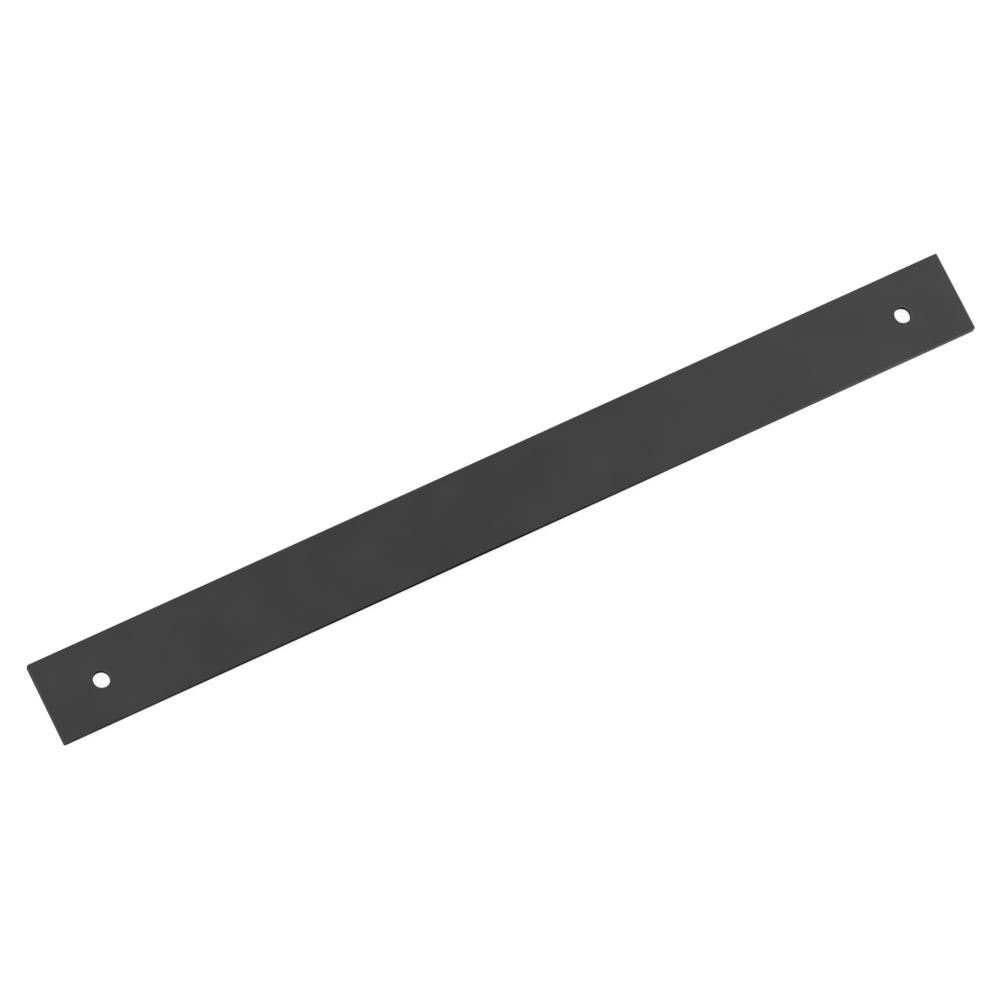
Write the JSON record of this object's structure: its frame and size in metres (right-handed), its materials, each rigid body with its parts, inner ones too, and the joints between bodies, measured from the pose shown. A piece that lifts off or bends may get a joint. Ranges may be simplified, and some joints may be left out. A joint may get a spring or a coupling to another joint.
{
  "type": "kick plate",
  "caption": "Flat rectangular dark powder-coated steel bar with a round through hole near each end, screwed along the foot of a door or gate.",
  "frame": {"origin": "middle of the flat back face, the face that lies against the door or gate", "axes": "+X along the bar, +Y across its width, +Z out of the front face"},
  "size_m": [0.583, 0.05, 0.006],
  "materials": {
    "dark_powder_coat": "satin, fine-grained powder coat"
  },
  "bodies": {
    "root": {"kick_plate": "dark_powder_coat"}
  },
  "joints": []
}
